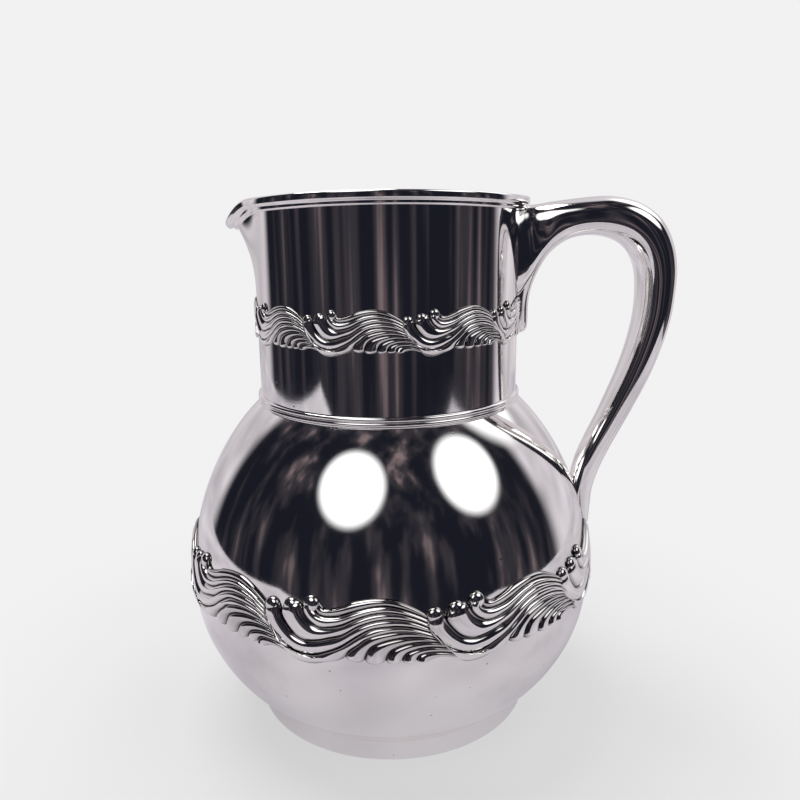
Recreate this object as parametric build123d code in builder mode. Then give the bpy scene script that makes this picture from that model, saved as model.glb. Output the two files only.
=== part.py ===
"""Silver water pitcher: a raised globular belly, a straight neck with a pinched lip, two bands of
wave ornament, and a hollow handle of two struck halves. Millimetres, +Z up. The origin is on the
pitcher's axis, in the plane that it stands on. The handle points along +X and the lip along -X.
"""
from build123d import *
from math import asin, cos, radians, sin, sqrt
import os

# Sheet
sheet = 0.8                 # gauge of the belly and the neck
handle_sheet = 0.9          # gauge of the struck handle halves

# Belly: two quarter ellipses on one equator, with a dished base
belly_radius = 84.0
equator_height = 58.0
belly_rise = 95.5           # upper semi-axis
belly_drop = 69.0           # lower semi-axis
base_height = 3.0           # lowest ring of the base above the table
base_dish = 3.0             # how far the base's middle stands above its edge

# Neck, lip and rim
neck_radius = 52.5
rim_height = 214.0          # top of the rim half way between the lip and the handle
rim_dip = 2.5               # the rim falls this much towards the lip and towards the handle
lip_start = 182.0           # the lip begins to flare here
lip_radius_low = 18.0       # radius of the lip's channel where it begins
lip_radius_high = 15.0      # and at the rim
lip_reach = 8.2             # how far the lip's edge stands out of the neck
lip_droop = 7.5             # the lip's tip lies this far under the rim
fillet_depth = 2.2          # lower step of the rim's moulding
roll_depth = 3.9            # upper step of the rim's moulding
roll_height = 2.9
moulding_height = 4.9

# Shoulder ring: reeded wire round the joint of neck and belly
reed_count = 2
reed_height = 1.8
reed_root = 0.5             # wire outside the neck between two reeds
reed_crest = 1.3

# Foot ring
foot_radius = 58.3
foot_inner_radius = 55.8
foot_height = 7.2
foot_taper = 0.7            # the foot is narrower by this at its top

# Wave bands
wave_count = 9
wave_joint = 0.1            # half of the gap between two struck waves
belly_wave_depth = 1.7
neck_wave_depth = 1.3
belly_head_radius = 2.6
neck_head_radius = 1.8
belly_turn = -1.0           # the first joint stands this far round from the handle, in degrees
neck_turn = -3.5

# Handle: stations down its middle line, as (x, z, slope of the line, half thickness, half width)
handle_line = [
    (49.0, 190.0, 0, 18.5, 9.5), (57.0, 191.0, 0, 17.6, 9.0), (61.5, 196.5, 0, 12.4, 9.0),
    (66.0, 200.0, 2, 9.6, 9.3), (72.0, 202.5, 6, 7.8, 9.8), (80.0, 203.7, 4, 7.5, 10.7),
    (88.5, 203.5, -8, 8.1, 11.5), (96.5, 201.3, -27, 8.6, 12.1), (102.6, 196.9, -46, 8.7, 12.3),
    (106.6, 190.6, -63, 8.2, 12.2), (108.8, 182.5, -79, 7.6, 12.0), (109.2, 173.5, -91, 7.1, 11.6),
    (108.4, 163.0, -98, 6.8, 11.0), (105.8, 151.5, -104, 6.4, 10.2), (102.0, 140.0, -110, 6.1, 9.4),
    (97.6, 129.5, -113, 5.8, 8.6), (92.8, 119.0, -115, 5.5, 7.8), (88.0, 109.0, -115, 5.4, 7.2),
    (84.2, 99.5, -110, 5.3, 6.7), (82.3, 90.5, -97, 4.8, 6.0), (82.4, 82.0, -86, 4.1, 5.0),
    (83.2, 74.0, -84, 3.3, 3.6)]
handle_power = 2.6          # 2 is an ellipse, and more is a squarer cushion
leg_foot = 157.5            # lower end of the leg on the neck
leg_top = 184.0
leg_depth = 5.0             # how far the leg stands out of the neck
leg_half_width = 7.0
leg_toe_half_width = 4.5


def ellipse_radius(height, shrink=0.0):
    """Belly radius at a height; shrink moves the curve in from the outer surface."""
    drop = height - equator_height
    semi = (belly_rise if drop > 0 else belly_drop) - shrink
    return (belly_radius - shrink) * sqrt(1 - (drop / semi) ** 2)


neck_bore = neck_radius - sheet
# The belly ends where its inside has closed in to the neck's bore.
shoulder_height = equator_height + (belly_rise - sheet) * sqrt(
    1 - (neck_bore / (belly_radius - sheet)) ** 2)


def belly_points(low, high, shrink):
    """Points on the side of the belly, spaced by equal turns of its ellipses."""
    low_turn = asin((low - equator_height) / (belly_drop - shrink))
    high_turn = asin((high - equator_height) / (belly_rise - shrink))
    points = []
    for step in range(-6, 7):
        turn = (low_turn if step < 0 else high_turn) * abs(step) / 6
        semi = (belly_drop if step < 0 else belly_rise) - shrink
        points.append(((belly_radius - shrink) * cos(turn), equator_height + semi * sin(turn)))
    return points


def belly_core(low, high, shrink=0.0):
    """The belly as a filled body, from the edge of its dished base up to a height."""
    side = belly_points(low, high, shrink)
    with BuildPart(mode=Mode.PRIVATE) as core:
        with BuildSketch(Plane.XZ):
            with BuildLine():
                Spline(*side)
                Polyline(side[-1], (0, high), (0, low + base_dish), side[0])
            make_face()
        revolve(axis=Axis.Z)
    return core.part


def mouth(grow, low):
    """Neck and lip as one filled body from a height up, grown outwards by grow."""
    lip_top = rim_height + moulding_height
    steep = (lip_top - lip_start) / (rim_height - rim_dip - lip_droop - lip_start)
    with BuildPart(mode=Mode.PRIVATE) as body:
        with BuildSketch(Plane.XY.offset(low)):
            Circle(neck_radius + grow)
        extrude(amount=lip_top - low)
        for height, radius, reach in ((lip_start, lip_radius_low, 0.0),
                                      (lip_top, lip_radius_high, lip_reach * steep)):
            with BuildSketch(Plane.XY.offset(height)):
                with Locations((radius - neck_radius - reach, 0)):
                    Circle(radius + grow)
        loft()
    return body.part


def above_rim(lower):
    """Everything above the rim's line, lowered by lower, as a bar along Y."""
    outer = neck_radius + roll_depth
    side = rim_height - rim_dip - lower
    tip = -outer - lip_reach
    clear = rim_height * 1.2
    with BuildPart(mode=Mode.PRIVATE) as bar:
        with BuildSketch(Plane.XZ):
            with BuildLine():
                ThreePointArc((outer, side), (0, side + rim_dip), (-outer * 0.92, side + 0.3))
                Line((-outer * 0.92, side + 0.3), (tip, side - lip_droop))
                Polyline((tip, side - lip_droop), (tip * 1.1, side - lip_droop * 1.9),
                         (tip * 1.1, clear), (outer * 1.2, clear), (outer * 1.2, side),
                         (outer, side))
            make_face()
        extrude(amount=outer * 1.2, both=True)
    return bar.part


def save(part, name):
    """Label one finished piece and write its file."""
    part.label = name
    export_step(part, f"parts/{name}.step")


os.makedirs("parts", exist_ok=True)

# Belly bowl, raised from one sheet: shoulder, equator, and the dished base that closes it
belly_body = belly_core(base_height, shoulder_height)
with BuildPart() as belly_bowl:
    add(belly_body)
    add(belly_core(base_height + sheet, shoulder_height + sheet, sheet), mode=Mode.SUBTRACT)
save(belly_bowl.part, "belly_bowl")

# Neck, a seamed tube with the lip drawn out of its upper edge
neck_body = mouth(0.0, shoulder_height)
with BuildPart() as neck_wall:
    add(neck_body)
    add(mouth(-sheet, shoulder_height), mode=Mode.SUBTRACT)
    add(above_rim(0.0), mode=Mode.SUBTRACT)
save(neck_wall.part, "neck_wall")

# Rim moulding, a stepped wire that follows the mouth and the lip
with BuildPart() as rim_moulding:
    add(mouth(roll_depth, lip_start))
    add(above_rim(roll_height), mode=Mode.INTERSECT)
with BuildPart() as rim_fillet:
    add(mouth(fillet_depth, lip_start))
    add(above_rim(moulding_height), mode=Mode.INTERSECT)
with BuildPart() as rim_wire:
    add(rim_moulding.part)
    add(rim_fillet.part)
    add(above_rim(0.0), mode=Mode.SUBTRACT)
    add(mouth(0.0, lip_start), mode=Mode.SUBTRACT)
save(rim_wire.part, "rim_moulding")

# Shoulder ring, reeded wire seated on the belly's edge round the neck
with BuildPart() as shoulder_ring:
    with BuildSketch(Plane.XZ):
        with BuildLine():
            root = neck_radius + reed_root
            crest = neck_radius + reed_crest
            for reed in range(reed_count):
                low = shoulder_height + reed * reed_height
                high = low + reed_height
                ThreePointArc((root, low), (crest, (low + high) / 2), (root, high))
            ring_top = shoulder_height + reed_count * reed_height
            Polyline((root, ring_top), (neck_radius, ring_top),
                     (neck_radius, shoulder_height), (root, shoulder_height))
        make_face()
    revolve(axis=Axis.Z)
save(shoulder_ring.part, "shoulder_ring")

# Foot ring, a tapered strip under the belly
with BuildPart() as foot_ring:
    with BuildSketch(Plane.XZ):
        with BuildLine():
            Polyline((foot_inner_radius, 0), (foot_radius, 0),
                     (foot_radius - foot_taper, foot_height), (foot_inner_radius, foot_height),
                     (foot_inner_radius, 0))
        make_face()
    revolve(axis=Axis.Z)
    add(belly_body, mode=Mode.SUBTRACT)
save(foot_ring.part, "foot_ring")


def station_plane(x, z, slope):
    """Plane across the handle: its x axis points out of the grip loop, its y axis along -Y."""
    along = (cos(radians(slope)), 0, sin(radians(slope)))
    outward = (-sin(radians(slope)), 0, cos(radians(slope)))
    return Plane(origin=(x, 0, z), x_dir=outward, z_dir=along)


def cushion(thick, wide, start, end):
    """Points on the handle's cushion section, from one turn to another, in degrees."""
    points = []
    for step in range(9):
        turn = radians(start + (end - start) * step / 8)
        lift = abs(cos(turn)) ** (2 / handle_power) * (1 if cos(turn) > 0 else -1)
        side = abs(sin(turn)) ** (2 / handle_power) * (1 if sin(turn) > 0 else -1)
        points.append((thick * lift, wide * side))
    return points


def handle_half(side):
    """One struck half of the handle, as a trough open on the middle plane; side is 1 or -1."""
    with BuildPart(mode=Mode.PRIVATE) as half:
        for x, z, slope, thick, wide in handle_line:
            outside = cushion(thick, wide, 0, 180 * side)
            inside = cushion(thick - handle_sheet, wide - handle_sheet, 0, 180 * side)
            with BuildSketch(station_plane(x, z, slope)):
                with BuildLine():
                    Spline(*outside)
                    Line(outside[-1], inside[-1])
                    Spline(*inside)
                    Line(inside[0], outside[0])
                make_face()
        loft()
    return half.part


# Handle as a filled body, to trim the waves beside it
with BuildPart() as handle_body:
    for x, z, slope, thick, wide in handle_line:
        with BuildSketch(station_plane(x, z, slope)):
            with BuildLine():
                Spline(*cushion(thick, wide, 0, 180))
                Spline(*cushion(thick, wide, 0, -180))
            make_face()
    loft()

# Leg, the tongue of the handle that runs down the neck
with BuildPart() as leg:
    for height, wide in ((leg_foot, leg_toe_half_width), (leg_top, leg_half_width)):
        with BuildSketch(Plane.XY.offset(height)):
            with Locations((neck_radius, 0)):
                RectangleRounded(2 * leg_depth, 2 * wide, leg_depth * 0.4)
    loft()
    add(neck_body, mode=Mode.SUBTRACT)

# Handle halves, each with its half of the leg, soldered together on the middle plane
for name, side, kept in (("handle_left_half", 1, Keep.TOP), ("handle_right_half", -1, Keep.BOTTOM)):
    with BuildPart() as leg_half:
        add(leg.part)
        split(bisect_by=Plane.XZ, keep=kept)
    with BuildPart() as half:
        add(handle_half(side))
        add(neck_body, mode=Mode.SUBTRACT)
        add(belly_body, mode=Mode.SUBTRACT)
        add(leg_half.part)
    save(half.part, name)


# Outline of one struck wave, as (turn in degrees from its left joint, height). The joint on its
# left is an S, and the next wave's joint closes its right side.
belly_joint = [(5.6, 59.5), (4.9, 62.3), (3.0, 64.2), (1.0, 65.8), (-0.2, 68.2), (-1.2, 71.5),
               (-1.5, 74.2)]
belly_crest = [(-1.5, 74.2), (1.1, 77.4), (6.4, 78.4), (11.8, 80.4), (15.4, 76.6), (20.1, 78.6),
               (27.1, 81.0), (33.9, 79.0), (38.5, 74.2)]
belly_hem = [(45.6, 59.5), (42.0, 57.8), (35.0, 57.8), (31.0, 57.3), (26.5, 56.9), (22.5, 56.6),
             (18.0, 58.4), (11.5, 56.0), (7.7, 56.6), (5.6, 59.5)]
neck_joint = [(6.4, 160.0), (5.9, 162.2), (1.8, 163.8), (-0.9, 166.4), (-0.6, 169.4)]
neck_crest = [(-0.6, 169.4), (2.3, 170.6), (8.0, 171.8), (12.5, 173.6), (16.0, 172.2),
              (27.0, 174.4), (34.3, 172.9), (39.4, 169.4)]
neck_hem = [(46.4, 160.0), (37.1, 158.9), (26.3, 158.2), (20.3, 158.7), (15.2, 157.5),
            (10.0, 158.4), (6.4, 160.0)]
pitch = 360 / wave_count


def struck_wave(joint, crest, hem, heads, head_radius, radius_at, seat, blank):
    """One wave: its outline cut from the blank, and its round heads, all down to the seat."""
    def place(turn, height):
        return (radius_at(height) * sin(radians(turn - pitch / 2)), height)

    left = [place(turn + wave_joint, height) for turn, height in joint]
    right = [place(turn + pitch - wave_joint, height) for turn, height in reversed(joint)]
    top = [place(turn, height) for turn, height in crest[1:-1]]
    bottom = [place(turn, height) for turn, height in hem[1:-1]]
    with BuildPart(mode=Mode.PRIVATE) as wave:
        with BuildSketch(Plane.YZ):
            with BuildLine():
                Polyline(*left)
                Spline(left[-1], *top, right[0])
                Polyline(*right)
                Spline(right[-1], *bottom, left[0])
            make_face()
        extrude(amount=belly_radius * 1.5)
        add(blank, mode=Mode.INTERSECT)
        for turn, height in heads:
            across, up = place(turn, height)
            radius = radius_at(height)
            with Locations((sqrt(radius ** 2 - across ** 2), across, up)):
                Sphere(head_radius)
        add(seat, mode=Mode.SUBTRACT)
    return wave.part


belly_blank = belly_core(base_height, shoulder_height, -belly_wave_depth)
with BuildPart() as neck_blank:
    with BuildSketch(Plane.XY.offset(shoulder_height)):
        Circle(neck_radius + neck_wave_depth)
    extrude(amount=lip_start - shoulder_height)
belly_wave = struck_wave(
    belly_joint, belly_crest, belly_hem, [(1.6, 74.6), (6.4, 75.8), (11.8, 77.8)],
    belly_head_radius, lambda height: ellipse_radius(height) + belly_wave_depth, belly_body,
    belly_blank)
neck_wave = struck_wave(
    neck_joint, neck_crest, neck_hem, [(1.6, 168.6), (4.9, 169.2), (8.4, 170.0), (12.2, 171.4)],
    neck_head_radius, lambda height: neck_radius + neck_wave_depth, neck_body,
    neck_blank.part)
for family, wave, turn in (("belly_wave", belly_wave, belly_turn), ("neck_wave", neck_wave, neck_turn)):
    for number in range(wave_count):
        with BuildPart() as placed:
            add(wave, rotation=(0, 0, turn + pitch * (number + 0.5)))
            if number in (0, wave_count - 1):
                add(handle_body.part, mode=Mode.SUBTRACT)
                add(leg.part, mode=Mode.SUBTRACT)
        save(placed.part, f"{family}_{number + 1}")
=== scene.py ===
import math

import bmesh
import bpy
import numpy as np
from mathutils import Matrix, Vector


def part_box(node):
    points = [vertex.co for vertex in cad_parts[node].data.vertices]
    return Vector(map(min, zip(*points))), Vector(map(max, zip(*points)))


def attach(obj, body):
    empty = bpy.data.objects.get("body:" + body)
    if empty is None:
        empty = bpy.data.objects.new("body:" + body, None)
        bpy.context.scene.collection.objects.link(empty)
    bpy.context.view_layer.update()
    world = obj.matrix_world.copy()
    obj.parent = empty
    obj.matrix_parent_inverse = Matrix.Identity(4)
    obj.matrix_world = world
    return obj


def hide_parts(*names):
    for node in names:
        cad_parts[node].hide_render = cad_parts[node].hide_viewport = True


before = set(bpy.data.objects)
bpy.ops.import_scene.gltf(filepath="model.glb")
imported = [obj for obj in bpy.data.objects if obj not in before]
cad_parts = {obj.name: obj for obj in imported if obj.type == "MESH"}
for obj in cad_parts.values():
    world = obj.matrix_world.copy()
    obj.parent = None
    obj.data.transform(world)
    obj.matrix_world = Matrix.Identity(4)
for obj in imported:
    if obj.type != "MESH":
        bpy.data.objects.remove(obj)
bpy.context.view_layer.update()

# ---------------------------------------------------------------------------------------------
# Belly bowl. One disc of sterling sheet, raised into a globe and closed by a dished base.
# Its polished outside carries the finest wear: swirls from cloths, and a few pits.
# ---------------------------------------------------------------------------------------------
SHEET = 0.0008
EQUATOR_HEIGHT = 0.058
BELLY_RISE = 0.0955
BELLY_DROP = 0.069
BASE_DISH = 0.003
belly_low, belly_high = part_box("belly_bowl")
BELLY_RADIUS = belly_high[0]
SHOULDER_HEIGHT = belly_high[2]
BASE_HEIGHT = belly_low[2]


def closed_piece(name, parts):
    """Join grids of points into one mesh object, and turn each grid's faces outwards.

    Each part is an array (rows, columns, 3). Both directions close on themselves, so a part is
    a ring of rings: quad (i, j) joins rows i and i + 1 and columns j and j + 1, modulo the size.
    The sign of the sum of det(a, b, c) over the triangles tells which way the faces point.
    """
    corners, quads, start = [], [], 0
    for grid in parts:
        rows, columns = grid.shape[:2]
        index = start + np.arange(rows * columns).reshape(rows, columns)
        right = np.roll(index, -1, axis=1)
        below = np.roll(index, -1, axis=0)
        corner = np.roll(below, -1, axis=1)
        faces = np.stack([index, right, corner, below], axis=-1).reshape(-1, 4)
        flat = grid.reshape(-1, 3)
        a, b, c, d = (flat[faces[:, k] - start] for k in range(4))
        volume = np.einsum("ij,ij->", a, np.cross(b, c)) + np.einsum("ij,ij->", a, np.cross(c, d))
        if volume < 0:
            faces = faces[:, ::-1]
        corners.append(flat)
        quads.append(faces)
        start += rows * columns
    mesh = bpy.data.meshes.new(name)
    mesh.from_pydata(np.concatenate(corners).tolist(), [], np.concatenate(quads).tolist())
    clean = bmesh.new()
    clean.from_mesh(mesh)
    bmesh.ops.remove_doubles(clean, verts=clean.verts, dist=1e-7)
    bmesh.ops.dissolve_degenerate(clean, edges=clean.edges, dist=1e-7)
    # where a part's two ends are points, the ring between them leaves a bare edge
    bare = [edge for edge in clean.edges if edge.is_wire]
    bmesh.ops.delete(clean, geom=bare, context="EDGES")
    clean.to_mesh(mesh)
    clean.free()
    mesh.shade_smooth()
    mesh.set_sharp_from_angle(angle=math.radians(40))
    piece = bpy.data.objects.new(name, mesh)
    bpy.context.scene.collection.objects.link(piece)
    return piece


def belly_outline(height, shrink=0.0):
    """Radius of the belly at a height: an ellipse, (r / R)^2 + (rise / semi-axis)^2 = 1."""
    rise = np.asarray(height, float) - EQUATOR_HEIGHT
    semi = np.where(rise > 0, BELLY_RISE, BELLY_DROP) - shrink
    return (BELLY_RADIUS - shrink) * np.sqrt(np.clip(1 - (rise / semi) ** 2, 0, 1))


def turned(profile, steps=288):
    """A closed outline of (radius, height) carried once round the pitcher's axis."""
    turn = np.arange(steps) * 2 * math.pi / steps
    profile = np.asarray(profile, float)
    return np.stack([np.outer(np.cos(turn), profile[:, 0]),
                     np.outer(np.sin(turn), profile[:, 0]),
                     np.tile(profile[:, 1], (steps, 1))], axis=-1)


def belly_side(low, high, shrink):
    """The belly's side from a low height to a high one, spaced by equal turns of its ellipses."""
    first = math.asin((low - EQUATOR_HEIGHT) / (BELLY_DROP - shrink))
    last = math.asin((high - EQUATOR_HEIGHT) / (BELLY_RISE - shrink))
    turn = np.linspace(first, last, 120)
    height = EQUATOR_HEIGHT + np.sin(turn) * (np.where(turn > 0, BELLY_RISE, BELLY_DROP) - shrink)
    return np.stack([belly_outline(height, shrink), height], axis=1)


def dished_base(edge):
    """The base from its edge to the axis: it rises by BASE_DISH as the radius falls to 0."""
    share = np.linspace(1, 0, 24)[1:]
    return np.stack([edge[0] * share, edge[1] + BASE_DISH * (1 - share ** 2)], axis=1)


outer_side = belly_side(BASE_HEIGHT, SHOULDER_HEIGHT, 0.0)
inner_side = belly_side(BASE_HEIGHT + SHEET, SHOULDER_HEIGHT, SHEET)
belly = closed_piece("belly", [turned(np.concatenate([
    dished_base(outer_side[0])[::-1], outer_side, inner_side[::-1],
    dished_base(inner_side[0])]))])
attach(belly, "root")
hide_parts("belly_bowl")


def wear_group():
    """Shader group of fine wear on silver: swirling hairlines, cloudy tarnish and small pits."""
    group = bpy.data.node_groups.new("silver_wear", "ShaderNodeTree")
    group.interface.new_socket("Hairlines", in_out="INPUT", socket_type="NodeSocketFloat")
    group.interface.new_socket("Pits", in_out="INPUT", socket_type="NodeSocketFloat")
    group.interface.new_socket("Roughness", in_out="OUTPUT", socket_type="NodeSocketFloat")
    group.interface.new_socket("Tarnish", in_out="OUTPUT", socket_type="NodeSocketFloat")
    group.interface.new_socket("Height", in_out="OUTPUT", socket_type="NodeSocketFloat")
    group.interface.new_socket("Spots", in_out="OUTPUT", socket_type="NodeSocketFloat")
    nodes, links = group.nodes, group.links
    given = nodes.new("NodeGroupInput")
    result = nodes.new("NodeGroupOutput")
    place = nodes.new("ShaderNodeTexCoord")
    cloud = nodes.new("ShaderNodeTexNoise")
    cloud.inputs["Scale"].default_value = 22.0
    cloud.inputs["Detail"].default_value = 5.0
    links.new(place.outputs["Object"], cloud.inputs["Vector"])
    stretch = nodes.new("ShaderNodeMapping")
    stretch.inputs["Scale"].default_value = (260.0, 260.0, 2600.0)
    links.new(place.outputs["Object"], stretch.inputs["Vector"])
    hair = nodes.new("ShaderNodeTexNoise")
    hair.inputs["Scale"].default_value = 1.0
    hair.inputs["Detail"].default_value = 3.0
    hair.inputs["Distortion"].default_value = 1.5
    links.new(stretch.outputs["Vector"], hair.inputs["Vector"])
    pits = nodes.new("ShaderNodeTexVoronoi")
    pits.inputs["Scale"].default_value = 260.0
    links.new(place.outputs["Object"], pits.inputs["Vector"])
    pit = nodes.new("ShaderNodeMapRange")
    pit.inputs["From Min"].default_value = 0.0
    pit.inputs["From Max"].default_value = 0.14
    pit.inputs["To Min"].default_value = -1.0
    pit.inputs["To Max"].default_value = 0.0
    links.new(pits.outputs["Distance"], pit.inputs["Value"])
    patch = nodes.new("ShaderNodeMapRange")
    patch.inputs["From Min"].default_value = 0.56
    patch.inputs["From Max"].default_value = 0.66
    links.new(cloud.outputs["Fac"], patch.inputs["Value"])
    chance = nodes.new("ShaderNodeMath")
    chance.operation = "GREATER_THAN"
    chance.inputs[1].default_value = 0.80
    links.new(pits.outputs["Color"], chance.inputs[0])
    sparse = nodes.new("ShaderNodeMath")
    sparse.operation = "MULTIPLY"
    links.new(pit.outputs["Result"], sparse.inputs[0])
    links.new(chance.outputs["Value"], sparse.inputs[1])
    deep = nodes.new("ShaderNodeMath")
    deep.operation = "MULTIPLY"
    links.new(sparse.outputs["Value"], deep.inputs[0])
    links.new(given.outputs["Pits"], deep.inputs[1])
    spots = nodes.new("ShaderNodeMath")
    spots.operation = "MULTIPLY"
    spots.inputs[1].default_value = -0.7
    links.new(deep.outputs["Value"], spots.inputs[0])
    links.new(spots.outputs["Value"], result.inputs["Spots"])
    fine = nodes.new("ShaderNodeMath")
    fine.operation = "MULTIPLY"
    links.new(hair.outputs["Fac"], fine.inputs[0])
    links.new(given.outputs["Hairlines"], fine.inputs[1])
    both = nodes.new("ShaderNodeMath")
    both.operation = "ADD"
    links.new(fine.outputs["Value"], both.inputs[0])
    links.new(deep.outputs["Value"], both.inputs[1])
    links.new(both.outputs["Value"], result.inputs["Height"])
    rough = nodes.new("ShaderNodeMapRange")
    rough.inputs["From Min"].default_value = 0.3
    rough.inputs["From Max"].default_value = 0.7
    rough.inputs["To Min"].default_value = 0.035
    rough.inputs["To Max"].default_value = 0.09
    links.new(cloud.outputs["Fac"], rough.inputs["Value"])
    links.new(rough.outputs["Result"], result.inputs["Roughness"])
    links.new(patch.outputs["Result"], result.inputs["Tarnish"])
    return group


silver_wear = wear_group()


def silver(name, bright, dull, hairlines, pits, groove_depth):
    """Sterling silver: mirror metal, its tarnish clouds, and a near-black colour where Groove is
    high.
    """
    material = bpy.data.materials.new(name)
    material.use_nodes = True
    nodes, links = material.node_tree.nodes, material.node_tree.links
    metal = nodes["Principled BSDF"]
    metal.inputs["Metallic"].default_value = 1.0
    wear = nodes.new("ShaderNodeGroup")
    wear.node_tree = silver_wear
    wear.inputs["Hairlines"].default_value = hairlines
    wear.inputs["Pits"].default_value = pits
    tint = nodes.new("ShaderNodeMix")
    tint.data_type = "RGBA"
    tint.inputs["A"].default_value = (*bright, 1)
    tint.inputs["B"].default_value = (*dull, 1)
    links.new(wear.outputs["Tarnish"], tint.inputs["Factor"])
    groove = nodes.new("ShaderNodeAttribute")
    groove.attribute_name = "Groove"
    dark = nodes.new("ShaderNodeMath")
    dark.operation = "MULTIPLY_ADD"
    dark.use_clamp = True
    dark.inputs[1].default_value = groove_depth
    links.new(groove.outputs["Fac"], dark.inputs[0])
    links.new(wear.outputs["Spots"], dark.inputs[2])
    # the base colour goes to near black where Groove is high and in the pits
    darkening = nodes.new("ShaderNodeMix")
    darkening.data_type = "RGBA"
    darkening.inputs["B"].default_value = (0.035, 0.03, 0.028, 1)
    links.new(dark.outputs["Value"], darkening.inputs["Factor"])
    links.new(tint.outputs["Result"], darkening.inputs["A"])
    links.new(darkening.outputs["Result"], metal.inputs["Base Color"])
    links.new(wear.outputs["Roughness"], metal.inputs["Roughness"])
    bump = nodes.new("ShaderNodeBump")
    bump.inputs["Strength"].default_value = 0.12
    bump.inputs["Distance"].default_value = 0.00012
    links.new(wear.outputs["Height"], bump.inputs["Height"])
    links.new(bump.outputs["Normal"], metal.inputs["Normal"])
    return material


polished = silver("polished_silver", (0.94, 0.925, 0.91), (0.84, 0.82, 0.81), 0.15, 1.0, 0.0)
belly.data.materials.append(polished)

# ---------------------------------------------------------------------------------------------
# Foot ring. A tapered strip of sheet bent to a hoop and soldered under the belly. The solder
# leaves a small hollow curve where the strip meets the globe.
# ---------------------------------------------------------------------------------------------
FOOT_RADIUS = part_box("foot_ring")[1][0]
FOOT_WALL = 0.0025
FOOT_EDGE = 0.0005
FOOT_SHOULDER = 0.0066
FAIRING_RADIUS = 0.0600
FAIRING_TOP = 0.0100


def rounded(corners, radius, steps=5):
    """A closed outline with each corner cut by a curve that starts and ends radius from it.

    The curve is p = (1 - t)^2 a + 2 t (1 - t) corner + t^2 b, for t from 0 to 1.
    """
    corners = np.asarray(corners, float)
    share = np.linspace(0, 1, steps)[:, None]
    points = []
    for before, corner, after in zip(np.roll(corners, 1, axis=0), corners,
                                     np.roll(corners, -1, axis=0)):
        reach_in = min(radius, 0.45 * np.linalg.norm(before - corner))
        reach_out = min(radius, 0.45 * np.linalg.norm(after - corner))
        a = corner + (before - corner) / np.linalg.norm(before - corner) * reach_in
        b = corner + (after - corner) / np.linalg.norm(after - corner) * reach_out
        points.append((1 - share) ** 2 * a + 2 * share * (1 - share) * corner + share ** 2 * b)
    return np.concatenate(points)


foot = closed_piece("foot", [turned(rounded([
    (FOOT_RADIUS - FOOT_WALL, 0), (FOOT_RADIUS, 0), (FOOT_RADIUS - 0.0003, 0.0035),
    (FOOT_RADIUS - 0.0007, FOOT_SHOULDER), (FOOT_RADIUS - 0.0004, FOOT_SHOULDER + 0.0012),
    (FAIRING_RADIUS, FAIRING_TOP), (FAIRING_RADIUS - 0.0020, FAIRING_TOP - 0.0005),
    (FOOT_RADIUS - FOOT_WALL, FOOT_SHOULDER)], FOOT_EDGE))])
foot.data.materials.append(polished)
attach(foot, "root")
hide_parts("foot_ring")

# ---------------------------------------------------------------------------------------------
# Neck. A strip of the same sheet rolled to a tube and seamed, soldered into the belly's opening.
# Its upper edge is hammered out at the front into a lip, which droops and leans outwards.
# ---------------------------------------------------------------------------------------------
NECK_RADIUS = 0.0525
RIM_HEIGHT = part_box("rim_moulding")[1][2]
RIM_DIP = 0.0025
LIP_HALF_ANGLE = math.radians(25)
LIP_START = 0.176
LIP_REACH = 0.0085
LIP_DROOP = 0.0065
NECK_STEPS = 360
around = np.arange(NECK_STEPS) * 2 * math.pi / NECK_STEPS
# 1 at the middle of the lip, 0 from its edges on: the square of a cosine
from_lip = np.abs(np.angle(np.exp(1j * (around - math.pi))))
lip_window = np.where(from_lip < LIP_HALF_ANGLE,
                      np.cos(math.pi / 2 * from_lip / LIP_HALF_ANGLE) ** 2, 0.0)
rim_top = RIM_HEIGHT - RIM_DIP * np.cos(around) ** 2 - LIP_DROOP * lip_window ** 1.5


def neck_side(shrink):
    """Neck surface from the shoulder to the rim: radius + reach * window * (rise)^2."""
    share = np.linspace(0, 1, 90)[None, :]
    height = SHOULDER_HEIGHT + (rim_top[:, None] - SHOULDER_HEIGHT) * share
    rise = np.clip((height - LIP_START) / (rim_top[:, None] - LIP_START), 0, 1)
    radius = NECK_RADIUS - shrink + LIP_REACH * lip_window[:, None] * rise ** 2
    return np.stack([radius * np.cos(around)[:, None], radius * np.sin(around)[:, None],
                     height], axis=-1)


neck = closed_piece("neck", [np.concatenate([neck_side(0.0), neck_side(SHEET)[:, ::-1]], axis=1)])
neck.data.materials.append(polished)
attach(neck, "root")
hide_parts("neck_wall")

# ---------------------------------------------------------------------------------------------
# Rim moulding. Drawn wire in two steps, a roll over a fillet, soldered round the outside of the
# mouth. It follows the lip and leans out with it.
# ---------------------------------------------------------------------------------------------
ROLL_DEPTH = 0.0039
FILLET_DEPTH = 0.0022
ROLL_HEIGHT = 0.0029
MOULDING_HEIGHT = 0.0049
MOULDING_EDGE = 0.0009
LIP_LEAN = math.radians(42)
rim_section = rounded([
    (-SHEET, -MOULDING_HEIGHT * 0.2), (0.0, -MOULDING_HEIGHT), (FILLET_DEPTH, -MOULDING_HEIGHT),
    (FILLET_DEPTH, -ROLL_HEIGHT), (ROLL_DEPTH, -ROLL_HEIGHT), (ROLL_DEPTH, 0.0),
    (-SHEET, 0.0)], MOULDING_EDGE, 6)
lean = LIP_LEAN * lip_window[:, None]
out = rim_section[None, :, 0] * np.cos(lean) + rim_section[None, :, 1] * np.sin(lean)
up = rim_section[None, :, 1] * np.cos(lean) - rim_section[None, :, 0] * np.sin(lean)
radius = NECK_RADIUS + LIP_REACH * lip_window[:, None] + out
rim = closed_piece("rim_wire", [np.stack([
    radius * np.cos(around)[:, None], radius * np.sin(around)[:, None],
    rim_top[:, None] + up], axis=-1)])
rim.data.materials.append(polished)
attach(rim, "root")
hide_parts("rim_moulding")

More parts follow.
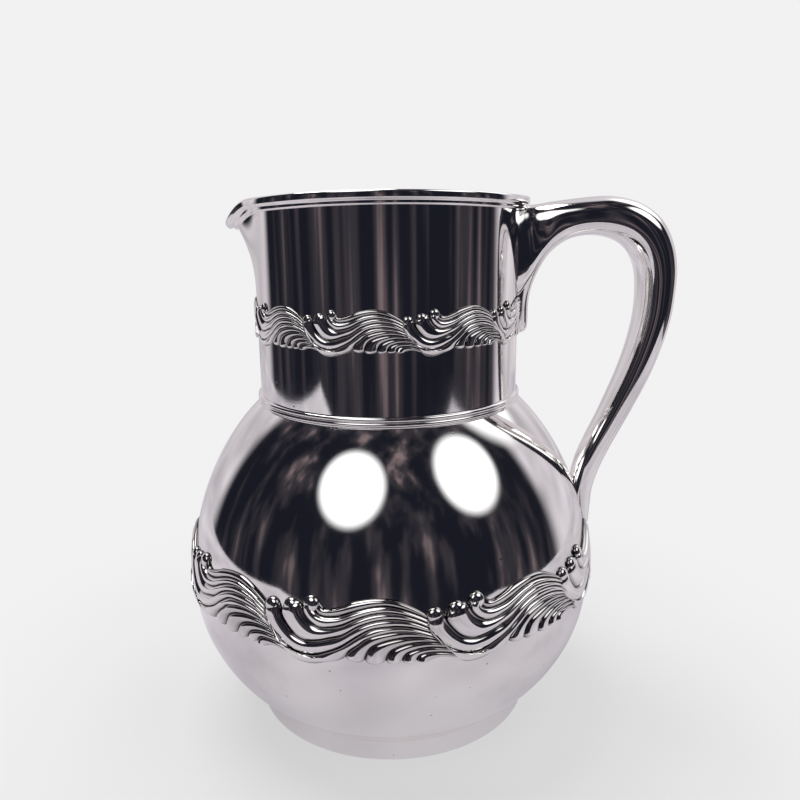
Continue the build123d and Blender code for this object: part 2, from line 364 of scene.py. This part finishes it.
# ---------------------------------------------------------------------------------------------
# Shoulder ring. Reeded wire, two half-rounds side by side, soldered over the joint of neck and
# belly.
# ---------------------------------------------------------------------------------------------
ring_low, ring_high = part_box("shoulder_ring")
REED_COUNT = 2
REED_ROOT = 0.0004
REED_CREST = ring_high[0] - NECK_RADIUS
reed_height = (ring_high[2] - ring_low[2]) / REED_COUNT
reed_turn = np.linspace(0, math.pi, 14)
reeds = [np.stack([NECK_RADIUS + REED_ROOT + (REED_CREST - REED_ROOT) * np.sin(reed_turn),
                   ring_low[2] + reed_height * (reed + 0.5 - 0.5 * np.cos(reed_turn))], axis=1)
         for reed in range(REED_COUNT)]
shoulder = closed_piece("shoulder_wire", [turned(np.concatenate(
    reeds + [[(NECK_RADIUS - 0.0001, ring_high[2]), (NECK_RADIUS - 0.0001, ring_low[2])]]))])
shoulder.data.materials.append(polished)
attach(shoulder, "root")
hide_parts("shoulder_ring")

# ---------------------------------------------------------------------------------------------
# Waves. Each is struck in a die from thin sheet: round-headed strands fall into a trough, rise
# to a crest and run out under the next wave. Nine on the belly and nine on the neck, soldered
# end to end. The silver is darkened to near black in the grooves and left bright on the crowns.
# ---------------------------------------------------------------------------------------------
WAVE_COUNT = 9
PITCH = 360 / WAVE_COUNT
STRAND_STEPS = 72
STRAND_SIDES = 20
STRAND_SINK = 0.0005
# One degree round the belly, at the height of its band
MM_PER_DEGREE = 1.45
# Grooves between strands, as (degrees from the wave's left joint, mm above the table)
grooves = [
    [(13.5, 78.6), (15.4, 76.4), (17.8, 77.3), (20.1, 78.5), (22.4, 79.8), (27.1, 80.9),
     (31.7, 80.4), (36.2, 77.6), (39.6, 74.5)],
    [(13.1, 79.4), (12.0, 76.8), (13.2, 74.7), (15.4, 74.0), (19.0, 74.8), (22.5, 76.8),
     (25.9, 78.2), (29.3, 78.6), (32.8, 77.7), (36.2, 75.9), (39.7, 73.4)],
    [(9.8, 78.6), (9.6, 75.6), (11.0, 72.4), (13.2, 70.3), (15.4, 70.2), (19.0, 71.5),
     (22.5, 74.1), (25.9, 75.9), (29.3, 76.6), (32.7, 76.1), (36.1, 74.5), (39.8, 71.9)],
    [(4.2, 77.0), (3.5, 73.2), (4.7, 69.9), (7.1, 66.2), (10.0, 64.6), (13.0, 65.1),
     (15.9, 66.4), (19.0, 67.8), (22.5, 71.2), (25.9, 73.3), (29.3, 74.2), (32.7, 74.1),
     (36.1, 73.0), (40.0, 70.3)],
    [(-1.6, 75.0), (-1.2, 71.5), (-0.2, 68.2), (1.0, 65.8), (3.0, 63.8), (5.0, 61.4),
     (8.0, 59.6), (12.1, 59.6), (15.4, 61.3), (19.0, 63.9), (22.5, 67.7), (25.9, 70.7),
     (29.3, 71.6), (32.7, 71.7), (36.1, 70.9), (40.6, 68.5)],
    [(5.4, 59.6), (7.7, 56.6), (11.5, 56.0), (15.3, 57.4), (19.1, 59.2), (21.3, 62.9),
     (23.6, 65.6), (25.9, 68.1), (29.3, 69.4), (32.7, 70.0), (36.1, 69.5), (39.5, 67.9),
     (42.4, 66.2)],
    [(24.2, 57.8), (25.1, 62.1), (26.5, 64.7), (29.2, 66.4), (32.6, 67.5), (36.0, 67.6),
     (39.5, 66.8), (43.6, 64.8)],
    [(29.1, 58.0), (30.1, 61.9), (31.9, 64.0), (34.9, 65.4), (38.3, 65.7), (41.8, 65.0),
     (45.0, 63.4)],
    [(32.8, 58.2), (33.9, 61.3), (35.5, 62.8), (38.3, 63.6), (41.7, 63.3), (45.9, 61.7)],
    [(36.2, 58.4), (37.3, 61.0), (39.4, 61.8), (42.9, 61.3), (46.0, 60.0)],
    [(38.6, 58.2), (40.8, 59.3), (43.0, 59.4), (46.2, 58.2)]]
# Middles of the three round heads at the top left of the wave
heads = [(1.0, 74.4), (6.3, 75.6), (11.5, 77.6)]
HEAD_RADIUS = 3.0
# The lower strands start at the hem, so the last upper groove is cut short for them.
upper_starts = {5: 4}


def smooth_line(points, steps):
    """A Catmull-Rom curve through the points, read at equal shares of its length."""
    points = np.asarray(points, float)
    held = np.concatenate([[2 * points[0] - points[1]], points, [2 * points[-1] - points[-2]]])
    t = np.linspace(0, 1, 16, endpoint=False)[:, None]
    spans = []
    for a, b, c, d in zip(held, held[1:], held[2:], held[3:]):
        spans.append(0.5 * (2 * b + (c - a) * t + (2 * a - 5 * b + 4 * c - d) * t ** 2
                            + (3 * b - a - 3 * c + d) * t ** 3))
    dense = np.concatenate(spans + [points[-1:]])
    lengths = np.linalg.norm(np.diff(dense, axis=0) * (MM_PER_DEGREE, 1.0), axis=1)
    along = np.concatenate([[0], np.cumsum(lengths)])
    want = np.linspace(0, along[-1], steps)
    return np.stack([np.interp(want, along, dense[:, k]) for k in range(2)], axis=1)


def strand(upper, lower, height, head, surface):
    """One strand as a closed pod between two grooves.

    Its middle line is the mean of the grooves. Across it, an angle a from 0 to 360 degrees puts
    a point at middle + half width * cos(a), standing off the metal by height * sin(a). Both are
    scaled by an ellipse at the strand's ends, so that they close, and the head stands prouder.
    """
    middle = (upper + lower) / 2
    half = (upper - lower) / 2
    share = np.linspace(0, 1, STRAND_STEPS)
    start = np.sqrt(np.clip(1 - (1 - np.clip(share / 0.07, 0, 1)) ** 2, 0, 1))
    finish = np.sqrt(np.clip(1 - (1 - np.clip((1 - share) / 0.03, 0, 1)) ** 2, 0, 1))
    scale = start * finish
    proud = height * (1 + head * np.exp(-(share / 0.11) ** 2)) * (1 - 0.25 * share)
    side = np.arange(STRAND_SIDES) * 2 * math.pi / STRAND_SIDES
    across = np.sign(np.cos(side)) * np.abs(np.cos(side)) ** 0.85
    arch = np.where(np.sin(side) > 0, np.abs(np.sin(side)) ** 1.3, 0)
    place = middle[:, None, :] + half[:, None, :] * (across[None, :, None] * 1.04
                                                     * scale[:, None, None])
    lift = (proud * scale)[:, None] * arch[None, :] - STRAND_SINK * (np.sin(side) < -0.01)[None, :]
    turn = np.radians(place[..., 0])
    tall = place[..., 1] / 1000
    return surface(turn, tall, lift)


def capped(grid):
    """Add a point's ring at each end, so that the pod closes without a hole."""
    first = np.broadcast_to(grid[:1].mean(axis=1, keepdims=True), grid[:1].shape)
    last = np.broadcast_to(grid[-1:].mean(axis=1, keepdims=True), grid[-1:].shape)
    return np.concatenate([first, grid, last])


def bulb(place, tall, height, surface):
    """A strand's round head: (place, height) + radius * (cos a, sin a) * sin b, proud by cos b."""
    a = np.arange(24) * 2 * math.pi / 24
    b = np.linspace(0, math.pi, 17)[:, None]
    across = np.radians(place + HEAD_RADIUS / MM_PER_DEGREE * np.cos(a) * np.sin(b))
    upward = (tall + HEAD_RADIUS * np.sin(a) * np.sin(b)) / 1000
    lift = height * np.clip(np.cos(b), 0, 1) ** 0.8 - STRAND_SINK * (b > 1.6)
    return surface(across, upward, lift)


def belly_surface(turn, tall, lift):
    """Angle, height and lift to a point: the lift is outwards and a little upwards."""
    radius = belly_outline(tall) + lift
    return np.stack([radius * np.cos(turn), radius * np.sin(turn), tall + lift * 0.15], axis=-1)


def neck_surface(turn, tall, lift):
    """The same pattern on the neck: its heights are brought down to the neck's narrower band."""
    tall = NECK_BAND_LOW + (tall - BELLY_BAND_LOW) * NECK_BAND_SHARE
    radius = NECK_RADIUS + lift
    return np.stack([radius * np.cos(turn), radius * np.sin(turn), tall], axis=-1)


BELLY_BAND_LOW = 0.056
BELLY_TURN = -1.0
BELLY_RELIEF = 0.0017
NECK_BAND_LOW = 0.1574
NECK_BAND_SHARE = 0.67
NECK_TURN = -3.5
NECK_RELIEF = 0.0012
struck = silver("struck_silver", (0.93, 0.915, 0.90), (0.84, 0.82, 0.80), 0.05, 0.3, 1.15)


def wave(name, start, surface, height):
    """One struck wave with its joint at start degrees: its strands, shingled from left to right."""
    parts = []
    for number in range(len(grooves) - 1):
        upper = grooves[number]
        lower = grooves[number + 1]
        if number in upper_starts:
            upper = upper[upper_starts[number]:]
        first = smooth_line(upper, STRAND_STEPS) + (start, 0)
        second = smooth_line(lower, STRAND_STEPS) + (start, 0)
        # the top strand starts as a thin point, and the lower ones as small round ends
        head = {0: -0.4, 1: 0.1, 2: 0.1, 3: 0.1}.get(number, 0.25)
        proud = height * (1.25 if number in (1, 2, 3, 4) else 0.9)
        parts.append(capped(strand(first, second, proud, head, surface)))
    for place, tall in heads:
        parts.append(bulb(start + place, tall, height * 1.15, surface))
    piece = closed_piece(name, parts)
    # the mask is 1 where a vertex lies on the metal and 0 where it stands well proud of it
    spots = np.empty(len(piece.data.vertices) * 3)
    piece.data.vertices.foreach_get("co", spots)
    spots = spots.reshape(-1, 3)
    below = belly_outline(spots[:, 2]) if surface is belly_surface else NECK_RADIUS
    off = np.hypot(spots[:, 0], spots[:, 1]) - below
    mask = np.clip(1 - off / (height * 0.95), 0, 1)
    layer = piece.data.attributes.new("Groove", "FLOAT", "POINT")
    layer.data.foreach_set("value", mask.astype(np.float32))
    piece.data.materials.append(struck)
    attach(piece, "root")
    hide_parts(name)
    return piece


for number in range(WAVE_COUNT):
    wave(f"belly_wave_{number + 1}", BELLY_TURN + PITCH * number, belly_surface, BELLY_RELIEF)
    wave(f"neck_wave_{number + 1}", NECK_TURN + PITCH * number, neck_surface, NECK_RELIEF)

# ---------------------------------------------------------------------------------------------
# Handle. Two halves struck in dies, left and right, and soldered along the middle plane into a
# hollow cushion-shaped loop. A leg runs down the neck from its root, and its tail lies on the
# belly.
# ---------------------------------------------------------------------------------------------
# Stations down the middle line: x, z, slope, half thickness, half width, in mm and degrees
handle_line = np.array([
    (50.0, 188.5, 0, 20.2, 11.0), (54.0, 190.0, 0, 18.8, 9.6), (57.5, 192.5, 0, 16.0, 8.8),
    (61.5, 196.5, 0, 12.4, 8.8),
    (66.0, 200.0, 2, 9.6, 9.3), (72.0, 202.5, 6, 7.8, 9.8), (80.0, 203.7, 4, 7.5, 10.7),
    (88.5, 203.5, -8, 8.1, 11.5), (96.5, 201.3, -27, 8.6, 12.1), (102.6, 196.9, -46, 8.7, 12.3),
    (106.6, 190.6, -63, 8.2, 12.2), (108.8, 182.5, -79, 7.6, 12.0), (109.2, 173.5, -91, 7.1, 11.6),
    (108.4, 163.0, -98, 6.8, 11.0), (105.8, 151.5, -104, 6.4, 10.2), (102.0, 140.0, -110, 6.1, 9.4),
    (97.6, 129.5, -113, 5.8, 8.6), (92.8, 119.0, -115, 5.5, 7.8), (88.0, 109.0, -115, 5.4, 7.2),
    (84.2, 99.5, -110, 5.3, 6.7), (82.3, 90.5, -97, 4.8, 6.0), (82.4, 82.0, -86, 4.1, 5.0),
    (83.2, 74.0, -84, 3.0, 3.4)])
HANDLE_STEPS = 260
HANDLE_SIDES = 44
HANDLE_POWER = 2.5
LEG_FOOT = 0.1578
LEG_TOP = 0.191
LEG_DEPTH = 0.0047
LEG_SWELL = 0.0080
LEG_SWELL_START = 0.168
LEG_SWELL_LENGTH = 0.022
LEG_TOE_HALF_WIDTH = 0.0045
LEG_TOP_HALF_WIDTH = 0.0090
LEG_SINK = 0.001


def through(table, steps):
    """Catmull-Rom curve through rows of numbers, at equal shares of the row count."""
    held = np.concatenate([[2 * table[0] - table[1]], table, [2 * table[-1] - table[-2]]])
    at = np.linspace(0, len(table) - 1 - 1e-9, steps)
    row = at.astype(int)
    t = (at - row)[:, None]
    a, b, c, d = (held[row + k] for k in range(4))
    return 0.5 * (2 * b + (c - a) * t + (2 * a - 5 * b + 4 * c - d) * t ** 2
                  + (3 * b - a - 3 * c + d) * t ** 3)


line = through(handle_line, HANDLE_STEPS)
slope = np.radians(line[:, 2])


def handle_half(side):
    """Half of the handle: a superellipse section |out|^p + |side|^p = 1 carried down the line.

    The section runs from the crown to the grip side, then back along the middle plane.
    """
    turn = np.linspace(0, math.pi, HANDLE_SIDES)
    lift = np.sign(np.cos(turn)) * np.abs(np.cos(turn)) ** (2 / HANDLE_POWER)
    wide = np.abs(np.sin(turn)) ** (2 / HANDLE_POWER)
    # the grip side is flatter than the crown
    lift = np.where(lift < 0, lift * 0.97, lift)
    seam = np.linspace(-0.9, 0.9, 8)
    lift = np.concatenate([lift, seam])
    wide = np.concatenate([wide, np.zeros(8)])
    out = line[:, 3:4] * lift[None, :]
    x = (line[:, 0:1] - np.sin(slope)[:, None] * out) / 1000
    z = (line[:, 1:2] + np.cos(slope)[:, None] * out) / 1000
    y = side * line[:, 4:5] * wide[None, :] / 1000
    return capped(np.stack([x, y, z], axis=-1))


def leg_half(side):
    """Half of the leg: a rounded tongue against the neck, narrowing and thinning downwards.

    At each height its outline is x = depth * cos(a)^0.6 and y = half width * sin(a)^0.6, for an
    angle a from 0 at the crown to 90 degrees at the neck.
    """
    share = np.linspace(0, 1, 40)[:, None]
    turn = np.linspace(0, math.pi / 2, 16)
    height = LEG_FOOT + (LEG_TOP - LEG_FOOT) * share
    toe = np.sqrt(np.clip(1 - (1 - np.clip(share / 0.12, 0, 1)) ** 2, 0.0, 1))
    # it thickens upwards to meet the underside of the handle in one curve
    swell = np.clip((height - LEG_SWELL_START) / LEG_SWELL_LENGTH, 0, 1)
    depth = (LEG_DEPTH + LEG_SWELL * swell ** 2) * (0.55 + 0.45 * toe)
    width = LEG_TOE_HALF_WIDTH + (LEG_TOP_HALF_WIDTH - LEG_TOE_HALF_WIDTH) * share
    half = width * (0.6 + 0.4 * toe)
    x = NECK_RADIUS - LEG_SINK + (depth + LEG_SINK) * np.cos(turn)[None, :] ** 0.6
    y = side * half * np.sin(turn)[None, :] ** 0.6
    back = np.stack([np.full_like(share, NECK_RADIUS - LEG_SINK), share * 0, height], axis=-1)
    outer = np.stack([x, y, np.broadcast_to(height, x.shape)], axis=-1)
    return capped(np.concatenate([outer, back], axis=1))


for node, side in (("handle_left_half", -1), ("handle_right_half", 1)):
    half = closed_piece(node, [handle_half(side), leg_half(side)])
    half.data.materials.append(polished)
    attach(half, "root")
    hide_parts(node)

# ---------------------------------------------------------------------------------------------
# Studio. A pale table and pale cloth walls behind, with a dark room in front. Two round soft
# lights stand in the room, a third behind the handle, and a wide lamp hangs overhead.
# The camera sees the ground plain white, and the silver sees it a little darker.
# ---------------------------------------------------------------------------------------------
TABLE_LEFT = -0.60
TABLE_RIGHT = 0.50
TABLE_FRONT = -0.37
TABLE_BACK = 0.70
PAPER = (0.88, 0.88, 0.88)
table = bpy.data.meshes.new("table")
table.from_pydata([(TABLE_LEFT, TABLE_FRONT, 0), (TABLE_RIGHT, TABLE_FRONT, 0),
                   (TABLE_RIGHT, TABLE_BACK, 0), (TABLE_LEFT, TABLE_BACK, 0)], [], [(0, 1, 2, 3)])
table_top = bpy.data.objects.new("table", table)
bpy.context.scene.collection.objects.link(table_top)

# The paper is lit for the camera, and fades into the plain white of the background around it
paper = bpy.data.materials.new("paper")
paper.use_nodes = True
nodes, links = paper.node_tree.nodes, paper.node_tree.links
sheet_shader = nodes["Principled BSDF"]
in_metal = nodes.new("ShaderNodeMix")
in_metal.data_type = "RGBA"
in_metal.inputs["A"].default_value = (*PAPER, 1)
in_metal.inputs["B"].default_value = (0.60, 0.57, 0.61, 1)
links.new(in_metal.outputs["Result"], sheet_shader.inputs["Base Color"])
sheet_shader.inputs["Roughness"].default_value = 0.9
sheet_shader.inputs["Specular IOR Level"].default_value = 0.1
place = nodes.new("ShaderNodeTexCoord")
glow = nodes.new("ShaderNodeEmission")
glow_tint = nodes.new("ShaderNodeMix")
glow_tint.data_type = "RGBA"
glow_tint.inputs["A"].default_value = (0.885, 0.885, 0.885, 1)
# painted patches of lighter and darker glow on the floor, seen only in the silver's reflection
glow_patches = nodes.new("ShaderNodeTexNoise")
glow_patches.inputs["Scale"].default_value = 7.0
glow_patches.inputs["Detail"].default_value = 2.0
links.new(place.outputs["Object"], glow_patches.inputs["Vector"])
glow_patch_tone = nodes.new("ShaderNodeValToRGB")
glow_patch_tone.color_ramp.elements[0].position = 0.35
glow_patch_tone.color_ramp.elements[0].color = (0.50, 0.47, 0.52, 1)
glow_patch_tone.color_ramp.elements[1].position = 0.65
glow_patch_tone.color_ramp.elements[1].color = (0.80, 0.77, 0.81, 1)
links.new(glow_patches.outputs["Fac"], glow_patch_tone.inputs["Fac"])
links.new(glow_patch_tone.outputs["Color"], glow_tint.inputs["B"])
links.new(glow_tint.outputs["Result"], glow.inputs["Color"])
reach = nodes.new("ShaderNodeVectorMath")
reach.operation = "LENGTH"
links.new(place.outputs["Object"], reach.inputs[0])
fade = nodes.new("ShaderNodeMapRange")
fade.interpolation_type = "SMOOTHSTEP"
fade.inputs["From Min"].default_value = 0.10
fade.inputs["From Max"].default_value = 0.24
fade.inputs["To Min"].default_value = 0.60
links.new(reach.outputs["Value"], fade.inputs["Value"])
rays = nodes.new("ShaderNodeLightPath")
links.new(rays.outputs["Is Glossy Ray"], in_metal.inputs["Factor"])
links.new(rays.outputs["Is Glossy Ray"], glow_tint.inputs["Factor"])
only_camera = nodes.new("ShaderNodeMath")
only_camera.operation = "MULTIPLY"
links.new(fade.outputs["Result"], only_camera.inputs[0])
links.new(rays.outputs["Is Camera Ray"], only_camera.inputs[1])
blend = nodes.new("ShaderNodeMixShader")
seen = nodes.new("ShaderNodeMath")
seen.operation = "MULTIPLY_ADD"
seen.inputs[1].default_value = 0.6
links.new(rays.outputs["Is Glossy Ray"], seen.inputs[0])
links.new(only_camera.outputs["Value"], seen.inputs[2])
links.new(seen.outputs["Value"], blend.inputs[0])
links.new(sheet_shader.outputs["BSDF"], blend.inputs[1])
links.new(glow.outputs["Emission"], blend.inputs[2])
links.new(blend.outputs["Shader"], nodes["Material Output"].inputs["Surface"])
table.materials.append(paper)

world = bpy.data.worlds.new("studio")
bpy.context.scene.world = world
world.use_nodes = True
nodes, links = world.node_tree.nodes, world.node_tree.links
sky = nodes["Background"]
direction = nodes.new("ShaderNodeTexCoord")


def toward(vector, inner, outer):
    """1 within inner degrees of a direction, falling smoothly to 0 at outer degrees."""
    dot = nodes.new("ShaderNodeVectorMath")
    dot.operation = "DOT_PRODUCT"
    length = math.sqrt(sum(v * v for v in vector))
    dot.inputs[1].default_value = [v / length for v in vector]
    links.new(direction.outputs["Generated"], dot.inputs[0])
    span = nodes.new("ShaderNodeMapRange")
    span.interpolation_type = "SMOOTHSTEP"
    span.inputs["From Min"].default_value = math.cos(math.radians(outer))
    span.inputs["From Max"].default_value = math.cos(math.radians(inner))
    links.new(dot.outputs["Value"], span.inputs["Value"])
    return span.outputs["Result"]


def over(base, color, mask):
    """Lay a colour over what is there, by a mask."""
    mix = nodes.new("ShaderNodeMix")
    mix.data_type = "RGBA"
    if isinstance(base, tuple):
        mix.inputs["A"].default_value = (*base, 1)
    else:
        links.new(base, mix.inputs["A"])
    if isinstance(color, tuple):
        mix.inputs["B"].default_value = (*color, 1)
    else:
        links.new(color, mix.inputs["B"])
    links.new(mask, mix.inputs["Factor"])
    return mix.outputs["Result"]


WALL = (0.66, 0.62, 0.66)
ROOM = (0.010, 0.011, 0.018)
WALL_DIRECTION = (0.148, 0.989, 0.05)
FRONT_LIGHTS = ((-0.36, -0.62, 0.69), (0.68, -0.34, 0.67))
BACK_LIGHT = (0.58, 0.44, 0.69)
stripes = nodes.new("ShaderNodeTexNoise")
stripes.inputs["Scale"].default_value = 1.0
stripes.inputs["Detail"].default_value = 4.0
squeeze = nodes.new("ShaderNodeMapping")
squeeze.inputs["Scale"].default_value = (6.0, 6.0, 0.9)
links.new(direction.outputs["Generated"], squeeze.inputs["Vector"])
links.new(squeeze.outputs["Vector"], stripes.inputs["Vector"])
ramp = nodes.new("ShaderNodeValToRGB")
ramp.color_ramp.elements[0].position = 0.46
ramp.color_ramp.elements[0].color = (*ROOM, 1)
ramp.color_ramp.elements[1].position = 0.60
ramp.color_ramp.elements[1].color = (0.045, 0.040, 0.048, 1)
bright_stripe = ramp.color_ramp.elements.new(0.72)
bright_stripe.color = (0.24, 0.18, 0.19, 1)
links.new(stripes.outputs["Fac"], ramp.inputs["Fac"])
folds = nodes.new("ShaderNodeTexNoise")
folds.inputs["Scale"].default_value = 2.2
folds.inputs["Detail"].default_value = 2.0
links.new(direction.outputs["Generated"], folds.inputs["Vector"])
cloth = nodes.new("ShaderNodeValToRGB")
cloth.color_ramp.elements[0].position = 0.35
cloth.color_ramp.elements[0].color = (*[0.72 * v for v in WALL], 1)
cloth.color_ramp.elements[1].position = 0.65
cloth.color_ramp.elements[1].color = (*[1.22 * v for v in WALL], 1)
links.new(folds.outputs["Fac"], cloth.inputs["Fac"])
scene_color = over(ramp.outputs["Color"], cloth.outputs["Color"],
                   toward(WALL_DIRECTION, 62, 72))
for spot in FRONT_LIGHTS:
    scene_color = over(scene_color, (1.7, 1.7, 1.72), toward(spot, 14, 21))
scene_color = over(scene_color, (1.5, 1.5, 1.52), toward(BACK_LIGHT, 12, 24))
rays = nodes.new("ShaderNodeLightPath")
scene_color = over(scene_color, (0.885, 0.885, 0.885), rays.outputs["Is Camera Ray"])
links.new(scene_color, sky.inputs["Color"])
sky.inputs["Strength"].default_value = 1.0

lamp = bpy.data.lights.new("overhead", "AREA")
lamp.shape = "DISK"
lamp.size = 0.9
lamp.energy = 9.0
lamp_object = bpy.data.objects.new("overhead", lamp)
lamp_object.location = (-0.35, 0.25, 1.3)
lamp_object.rotation_euler = (-lamp_object.location).to_track_quat("-Z", "Y").to_euler()
bpy.context.scene.collection.objects.link(lamp_object)

# ---------------------------------------------------------------------------------------------
# Camera. It stands a little under the height of the rim, close in front, and looks down with a
# slight roll.
# ---------------------------------------------------------------------------------------------
yaw, pitch, roll = (math.radians(v) for v in (0.826, 13.72, -0.69))
ahead = np.array([math.sin(yaw) * math.cos(pitch), math.cos(yaw) * math.cos(pitch),
                  -math.sin(pitch)])
level = np.array([math.cos(yaw), -math.sin(yaw), 0.0])
above = np.cross(level, ahead)
right = math.cos(roll) * level + math.sin(roll) * above
upward = -math.sin(roll) * level + math.cos(roll) * above
camera = bpy.data.cameras.new("camera")
camera.sensor_width = 36.0
camera.lens = 35.33
camera_object = bpy.data.objects.new("camera", camera)
camera_object.matrix_world = Matrix([
    (right[0], upward[0], -ahead[0], 0.0),
    (right[1], upward[1], -ahead[1], -0.321),
    (right[2], upward[2], -ahead[2], 0.20776),
    (0, 0, 0, 1)])
bpy.context.scene.collection.objects.link(camera_object)
bpy.context.scene.camera = camera_object
bpy.context.scene.view_settings.view_transform = "Standard"
